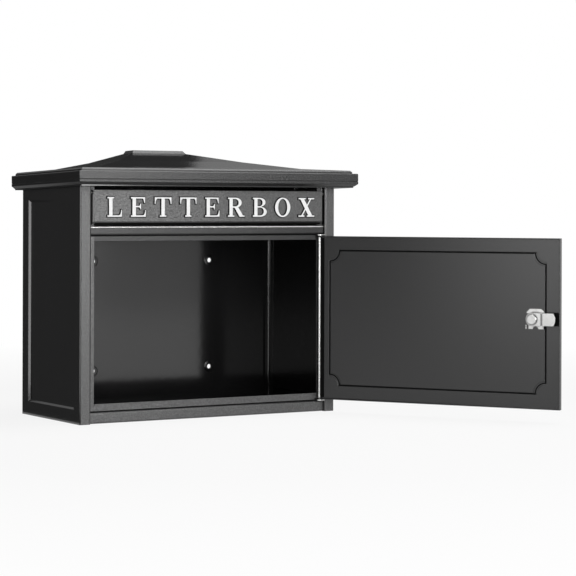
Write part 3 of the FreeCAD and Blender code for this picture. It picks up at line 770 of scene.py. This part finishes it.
def strip(name, low, high, body, turn=Matrix()):
    """Straight strip between two opposite corners."""
    corners = [(x, y, z) for z in (low[2], high[2]) for y in (low[1], high[1]) for x in (low[0], high[0])]
    sides = [(0, 2, 3, 1), (4, 5, 7, 6), (0, 1, 5, 4), (2, 6, 7, 3), (0, 4, 6, 2), (1, 3, 7, 5)]
    return shade_piece(name, corners, sides, body, turn)


print("door rod at", tuple(round(value, 4) for value in door_rod))

# %% [markdown]
# ## Painted shade lines
# Where the rail and the lintel are folded up to the stop lip, shade falls in the inner corner. Beside
# the hinge rod, the door's edge lies in shade. Each is painted as a thin black line, and each is a
# plain strip: painted shade.

# %% Shade lines
SHADE_LINE_HALF_LENGTH = 0.165
SHADE_LINE_DEPTH = 0.0008
SHADE_LINE_HEIGHT = 0.0013
STOP_SETBACK = 0.0036
RAIL_FACE_HEIGHT = 0.0135
LINTEL_FACE_HEIGHT = 0.0111
DOOR_FACE_SETBACK = 0.0021
HINGE_SHADE_NEAR = 0.0022
HINGE_SHADE_FAR = 0.0060
HINGE_SHADE_RISE = 0.0002
HINGE_SHADE_Z = (-0.1020, 0.1012)

stop_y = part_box("bottom_rail")[0].y + STOP_SETBACK
rail_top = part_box("bottom_rail")[0].z + RAIL_FACE_HEIGHT
lintel_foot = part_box("lintel")[1].z - LINTEL_FACE_HEIGHT
# Each strip is painted shade, in the corner of the stop lip or beside the hinge rod.
for name, foot in (("rail_shade_line", rail_top), ("lintel_shade_line", lintel_foot - SHADE_LINE_HEIGHT)):
    shade_line_low = (-SHADE_LINE_HALF_LENGTH, stop_y - SHADE_LINE_DEPTH, foot)
    shade_line_high = (SHADE_LINE_HALF_LENGTH, stop_y, foot + SHADE_LINE_HEIGHT)
    strip(name, shade_line_low, shade_line_high, "box")
face_y = door_rod.y - DOOR_FACE_SETBACK
hinge_low = (door_rod.x - HINGE_SHADE_FAR, face_y, HINGE_SHADE_Z[0])
hinge_high = (door_rod.x - HINGE_SHADE_NEAR, face_y + HINGE_SHADE_RISE, HINGE_SHADE_Z[1])
strip("hinge_shade_line", hinge_low, hinge_high, "door", open_door)
print("seams at z", round(rail_top, 4), "and", round(lintel_foot, 4), "and beside the rod")

# %% [markdown]
# ## Painted shade under the flap
# The flap's lower edge is bevelled back to shed rain. Shade falls on the lower part of that bevel,
# above the lintel, and a thin dull black strip there paints it. It swings out with the flap.

# %% Shade under the flap
BEVEL_HEIGHT = 0.0040
BEVEL_DEPTH = 0.0036
SHADE_STRIP_SHARE = 0.62
SHADE_STRIP_RISE = 0.0002
SHADE_STRIP_HALF_LENGTH = 0.160

flap_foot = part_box("letter_flap")[0].z
slant = Vector((0, -BEVEL_HEIGHT, -BEVEL_DEPTH)).normalized()
lower_edge = Vector((0, flap_front + BEVEL_DEPTH, flap_foot))
upper_edge = lower_edge + SHADE_STRIP_SHARE * Vector((0, -BEVEL_DEPTH, BEVEL_HEIGHT))
profile = [lower_edge, upper_edge, upper_edge + SHADE_STRIP_RISE * slant, lower_edge + SHADE_STRIP_RISE * slant]
shade_strip_corners = [(x, point.y, point.z) for x in (-SHADE_STRIP_HALF_LENGTH, SHADE_STRIP_HALF_LENGTH) for point in profile]
shade_strip_sides = [(0, 1, 2, 3), (7, 6, 5, 4), (0, 4, 5, 1), (1, 5, 6, 2), (2, 6, 7, 3), (3, 7, 4, 0)]
# The strip is painted shade on the flap's bevel.
shade_piece("flap_shade_strip", shade_strip_corners, shade_strip_sides, "flap")
print("flap seal above z", round(flap_foot, 4))

# %% [markdown]
# ## Painted shade in the door's bead
# The bead is a narrow groove pressed into the inside of the door. Shade falls in it, and it is
# painted as a black line with a scallop at each corner. The line lies on the groove's floor, below
# the face of the door.

# %% Bead shade line
BEAD_LOW = (-0.1433, -0.0859)
BEAD_HIGH = (0.1460, 0.0852)
SCALLOP_RADIUS = 0.0135
SCALLOP_STEPS = 10
BEAD_FLOOR_SETBACK = 0.0030
BEAD_SHADE_HALF_WIDTH = 0.0007
BEAD_SHADE_RISE = 0.0003


def bead_loop(grow):
    """Rectangle with a concave quarter circle at each corner, grown outward by a distance."""
    corners = [BEAD_LOW, (BEAD_HIGH[0], BEAD_LOW[1]), BEAD_HIGH, (BEAD_LOW[0], BEAD_HIGH[1])]
    radius = SCALLOP_RADIUS - grow
    more = math.degrees(math.asin(grow / radius))
    points = []
    for turn, corner in enumerate(corners):
        points += sweep(corner, (radius, radius), 90 + 90 * turn + more, 90 * turn - more, SCALLOP_STEPS)
    return points


floor_y = door_rod.y - BEAD_FLOOR_SETBACK
rings = [(grow, y) for y in (floor_y, floor_y + BEAD_SHADE_RISE) for grow in (BEAD_SHADE_HALF_WIDTH, -BEAD_SHADE_HALF_WIDTH)]
corners = [(x, y, z) for grow, y in rings for x, z in bead_loop(grow)]
count = len(corners) // len(rings)
sides = []
for first, second in ((0, 1), (1, 3), (3, 2), (2, 0)):
    for i in range(count):
        after = (i + 1) % count
        sides.append((first * count + i, first * count + after, second * count + after, second * count + i))
# The line is painted shade in the groove.
shade_piece("door_bead_shade_line", corners, sides, "door", open_door)
print("bead line with", count, "points a side")

# %% [markdown]
# ## White to the eye only
# The floor and the background are plain white. They show white to the camera and to gloss, and add
# no light of their own to the box. The Light Path node tells these rays apart. Near the box the floor
# keeps part of its own shading, so that the box still stands in its shadow.

# %% Floor material
FLOOR_COLOR = (0.82, 0.82, 0.82, 1.0)
WHITE = (1.0, 1.0, 1.0, 1.0)
SHADOW_SHARE = 0.13
SHADOW_REACH = 0.55
SHADOW_FADE = 0.9


def seen_rays(tree):
    """1 for rays from the camera, from gloss and through glass, and 0 for the light on the box."""
    path = place(tree, "ShaderNodeLightPath").outputs
    seen = larger(tree, path["Is Camera Ray"], path["Is Glossy Ray"])
    return larger(tree, seen, path["Is Transmission Ray"])


def white_floor():
    """Floor that glows white when it is looked at, apart from a share of its shading near the box."""
    material = bpy.data.materials.new("white_floor")
    material.use_nodes = True
    tree = material.node_tree
    tree.nodes.clear()
    shade = place(tree, "ShaderNodeBsdfDiffuse", {"Color": FLOOR_COLOR})
    glow = place(tree, "ShaderNodeEmission", {"Color": WHITE, "Strength": 1.0})
    where = place(tree, "ShaderNodeTexCoord")
    distance = place(tree, "ShaderNodeVectorMath", operation="LENGTH")
    fade = place(tree, "ShaderNodeMapRange", {
        "From Min": SHADOW_REACH, "From Max": SHADOW_REACH + SHADOW_FADE,
        "To Min": 1.0 - SHADOW_SHARE, "To Max": 1.0})
    share = place(tree, "ShaderNodeMath", operation="MULTIPLY")
    mix = place(tree, "ShaderNodeMixShader")
    surface = place(tree, "ShaderNodeOutputMaterial")
    tree.links.new(where.outputs["Object"], distance.inputs[0])
    tree.links.new(distance.outputs["Value"], fade.inputs["Value"])
    tree.links.new(fade.outputs["Result"], share.inputs[0])
    tree.links.new(seen_rays(tree), share.inputs[1])
    tree.links.new(share.outputs["Value"], mix.inputs[0])
    tree.links.new(shade.outputs["BSDF"], mix.inputs[1])
    tree.links.new(glow.outputs["Emission"], mix.inputs[2])
    tree.links.new(mix.outputs["Shader"], surface.inputs["Surface"])
    return material


print("floor keeps", SHADOW_SHARE, "of its shading near the box")

# %% [markdown]
# ## The floor
# The box stands on a wide level sheet, at the height of its own foot. The sheet is a piece of the
# studio: it is no part of the mailbox.

# %% Floor
HALF_FLOOR = 7.0


def card(name, corners, material):
    """Flat four-cornered piece of the studio, which is no part of the mailbox."""
    mesh = bpy.data.meshes.new(name)
    mesh.from_pydata(corners, [], [(0, 1, 2, 3)])
    mesh.materials.append(material)
    piece = bpy.data.objects.new(name, mesh)
    bpy.context.scene.collection.objects.link(piece)
    return piece


floor = card("floor", [
    (-HALF_FLOOR, -HALF_FLOOR, 0), (HALF_FLOOR, -HALF_FLOOR, 0),
    (HALF_FLOOR, HALF_FLOOR, 0), (-HALF_FLOOR, HALF_FLOOR, 0)], white_floor())
floor.location = ((cad_low.x + cad_high.x) / 2, (cad_low.y + cad_high.y) / 2, cad_low.z)
print("floor at", round(cad_low.z, 3))

# %% [markdown]
# ## The background
# The world is white to the camera and to gloss, like the floor. For all other light it is a weak,
# even grey, which keeps the shadows from going quite black.

# %% World
AMBIENT = (0.10, 0.10, 0.10)

world = bpy.data.worlds.new("studio")
bpy.context.scene.world = world
world.use_nodes = True
sky = world.node_tree.nodes["Background"]
sky_color = mixed_color(world.node_tree, seen_rays(world.node_tree), AMBIENT, WHITE[:3])
world.node_tree.links.new(sky_color, sky.inputs["Color"])
print("world ambient", AMBIENT[0])

# %% [markdown]
# ## Soft lamps
# A glossy black thing is lit by what it mirrors. A weak large lamp fills from the front, and a
# stronger one, to the right of it, stands where the front faces mirror it. Two more stand at the
# left for the door and the upright edges, and one hangs above, where the level edges mirror it as
# fine bright lines. The strength of each is given as how white it looks when it is mirrored.

# %% Lamps
MIDDLE = Vector((0.0, -0.08, 0.03))


def soft_lamp(name, position, size, radiance):
    """Rectangular soft lamp of a given size, aimed at the middle of the box."""
    data = bpy.data.lights.new(name, "AREA")
    data.shape = "RECTANGLE"
    data.size, data.size_y = size
    data.energy = radiance * math.pi * size[0] * size[1]
    lamp = bpy.data.objects.new(name, data)
    lamp.location = position
    lamp.rotation_euler = (MIDDLE - Vector(position)).to_track_quat("-Z", "Y").to_euler()
    bpy.context.scene.collection.objects.link(lamp)
    return lamp


soft_lamp("front_lamp", position=(-0.1, -2.1, 0.9), size=(1.6, 1.0), radiance=0.5)
soft_lamp("right_front_lamp", position=(0.30, -2.1, 0.35), size=(1.0, 0.9), radiance=7.5)
soft_lamp("left_lamp", position=(-1.9, -0.95, 0.35), size=(0.4, 1.0), radiance=2.1)
soft_lamp("left_front_lamp", position=(-1.9, -1.68, 0.35), size=(0.8, 0.7), radiance=6.0)
soft_lamp("top_lamp", position=(0.5, -0.3, 1.5), size=(0.8, 0.9), radiance=6.0)
print("lamps", len(bpy.data.lights))

# %% [markdown]
# ## Studio cards
# White all round would make the black box look grey. A studio stands cards round it: dark ones where
# a face should stay black, and grey ones where it should be lifted a little. The cards here are seen
# by gloss alone: the camera looks past them, and they cast no shadow.

# %% Card helpers
FLOOR_Z = cad_low.z
CARD_RISE = 0.001
CARD_COLOR = (0.0, 0.0, 0.0)
CARD_ROUGHNESS = 0.5


def studio_card(name, corners, brightness):
    """Plain card of a given brightness that only gloss can see."""
    material = new_material(name, CARD_COLOR, CARD_ROUGHNESS)[0]
    shader = material.node_tree.nodes["Principled BSDF"]
    shader.inputs["Specular IOR Level"].default_value = 0.0
    shader.inputs["Emission Color"].default_value = WHITE
    shader.inputs["Emission Strength"].default_value = brightness
    piece = card(name, corners, material)
    piece.visible_camera = False
    piece.visible_diffuse = False
    piece.visible_shadow = False
    piece.visible_transmission = False
    return piece


def standing_card(name, start, end, low, high, brightness):
    """Upright card between two points in plan and two heights."""
    return studio_card(name, [(*start, low), (*end, low), (*end, high), (*start, high)], brightness)


def floor_card(name, low, high, brightness):
    """Level card just above the floor, between two corners in plan."""
    z = FLOOR_Z + CARD_RISE
    return studio_card(name, [
        (low[0], low[1], z), (high[0], low[1], z), (high[0], high[1], z), (low[0], high[1], z)], brightness)


print("cards stand on z", round(FLOOR_Z, 3))

# %% [markdown]
# ## Cards behind the box
# The left side and the roof mirror what stands behind the box. Dark cards there keep the side and
# the left of the roof black. A grey one lifts the right of the roof, and its slanted edge shows
# there as the line between dark and light. Two more lie on the floor, and a small lighter one stands
# before the dark ones, for the edges.

# %% Cards behind the box
CARD_Y = 1.6
CARD_TOP = 1.6
CARD_LEFT = -2.6
SIDE_X = -0.5
SLANT_FOOT_X = 0.72
SLANT_TOP_X = 1.30
CARD_RIGHT = 3.2
BOX_LEFT = -0.185
EDGE_CARD_Y = CARD_Y - 0.01


def back_card(name, low, high, brightness):
    """Upright card behind the box, between two edges given by x at the floor and x at the top."""
    return studio_card(name, [
        (low[0], CARD_Y, FLOOR_Z), (high[0], CARD_Y, FLOOR_Z),
        (high[1], CARD_Y, CARD_TOP), (low[1], CARD_Y, CARD_TOP)], brightness)


back_card("side_card", (CARD_LEFT, CARD_LEFT), (SIDE_X, SIDE_X), 0.085)
back_card("roof_card", (SIDE_X, SIDE_X), (SLANT_FOOT_X, SLANT_TOP_X), 0.04)
back_card("grey_card", (SLANT_FOOT_X, SLANT_TOP_X), (CARD_RIGHT, CARD_RIGHT), 0.30)
floor_card("left_floor_card", (CARD_LEFT, -0.2), (BOX_LEFT, CARD_Y), 0.085)
floor_card("back_floor_card", (BOX_LEFT, 0.02), (1.5, CARD_Y), 0.35)
standing_card("edge_card", (SIDE_X, EDGE_CARD_Y), (-0.06, EDGE_CARD_Y), 0.45, 1.5, 0.5)
print("cards behind the box at y", CARD_Y)

# %% [markdown]
# ## Cards in front of the box
# The camera looks through a dark card, which keeps black what faces the camera. A light grey one at
# the right is mirrored by the back panel, a dark grey one at the left by the door, and a narrow
# bright one close to the left side by the slope along the edge of its pressed field.

# %% Cards in front of the box
standing_card("camera_card", (-1.75, -1.9), (-0.75, -2.3), FLOOR_Z, 0.9, 0.05)
standing_card("right_card", (0.85, -2.2), (2.4, -2.2), FLOOR_Z, 1.0, 0.65)
standing_card("door_card", (-1.95, -0.70), (-1.95, -0.20), FLOOR_Z, 1.2, 0.2)
standing_card("line_card", (-0.45, -0.18), (-0.45, -0.08), FLOOR_Z, 0.30, 3.6)
print("cards in front placed")
